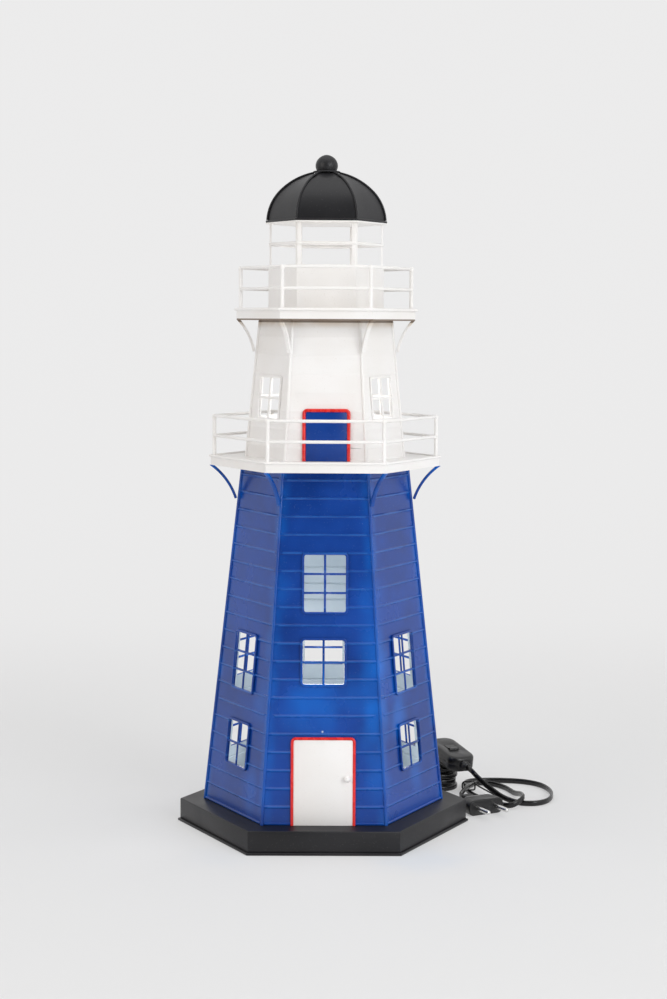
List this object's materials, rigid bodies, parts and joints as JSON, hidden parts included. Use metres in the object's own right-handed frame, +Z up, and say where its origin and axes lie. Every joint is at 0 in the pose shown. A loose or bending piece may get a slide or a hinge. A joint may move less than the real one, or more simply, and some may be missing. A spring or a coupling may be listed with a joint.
{
  "type": "lighthouse ornament",
  "caption": "Six-sided sheet-metal lighthouse with boarded tapering walls, windows and doors, railed galleries, an open lantern under a ribbed dome, a lamp inside, and a corded switch and plug",
  "frame": {"origin": "centre of the hexagonal foot, on the surface it stands on", "axes": "+Z up, the side with the two doors faces -Y, +X to the right seen from the front"},
  "size_m": [0.3319, 0.296, 0.5629],
  "materials": {
    "blue_paint": "satin",
    "white_paint": "satin",
    "red_paint": "satin",
    "black_paint": "satin",
    "plated_steel": "plated",
    "opal_glass": "opal",
    "black_plastic": "satin",
    "cord_jacket": "satin"
  },
  "bodies": {
    "lighthouse": {"base_tray": "black_paint", "tower_panel_front": "blue_paint", "tower_panel_front_right": "blue_paint", "tower_panel_rear_right": "blue_paint", "tower_panel_rear": "blue_paint", "tower_panel_rear_left": "blue_paint", "tower_panel_front_left": "blue_paint", "tower_seams": "blue_paint", "tower_tall_windows": "blue_paint", "tower_low_windows": "blue_paint", "tower_door": "white_paint", "tower_door_frame": "red_paint", "tower_door_knob": "white_paint", "gallery_deck": "white_paint", "gallery_brackets": "blue_paint", "gallery_posts": "white_paint", "gallery_mid_rail": "white_paint", "gallery_top_rail": "white_paint", "upper_panel_front": "white_paint", "upper_panel_front_right": "white_paint", "upper_panel_rear_right": "white_paint", "upper_panel_rear": "white_paint", "upper_panel_rear_left": "white_paint", "upper_panel_front_left": "white_paint", "upper_seams": "white_paint", "upper_windows": "white_paint", "upper_door": "blue_paint", "upper_door_frame": "red_paint", "upper_gallery_deck": "white_paint", "upper_gallery_brackets": "white_paint", "upper_gallery_posts": "white_paint", "upper_gallery_mid_rail": "white_paint", "upper_gallery_top_rail": "white_paint", "lantern_drum": "white_paint", "lantern_posts": "white_paint", "lantern_ring": "white_paint", "lantern_ceiling": "white_paint", "dome_gores": "black_paint", "dome_ribs": "black_paint", "dome_rim": "black_paint", "finial": "black_paint", "lamp_bracket": "plated_steel", "lamp_screws": "plated_steel", "lamp_nipple": "plated_steel", "lamp_nut": "plated_steel", "lampholder": "black_plastic", "bulb_cap": "plated_steel", "bulb_glass": "opal_glass", "inner_lead": "cord_jacket", "cord_gland": "black_plastic", "cord_lead": "cord_jacket", "cord_hank": "cord_jacket", "cord_riser": "cord_jacket", "cord_loops": "cord_jacket", "cord_ties": "black_plastic", "switch_lower_case": "black_plastic", "switch_upper_case": "black_plastic", "plug_body": "black_plastic", "plug_pins": "plated_steel"},
    "rocker": {"switch_rocker": "black_plastic"}
  },
  "joints": [
    {"name": "switch_rocker_tip", "type": "hinge", "parent": "lighthouse", "child": "rocker", "pos_m": [0.11736, 0.1102, 0.03753], "axis": [0.9135, 0.4067, 0], "range_deg": [0, 16]}
  ]
}
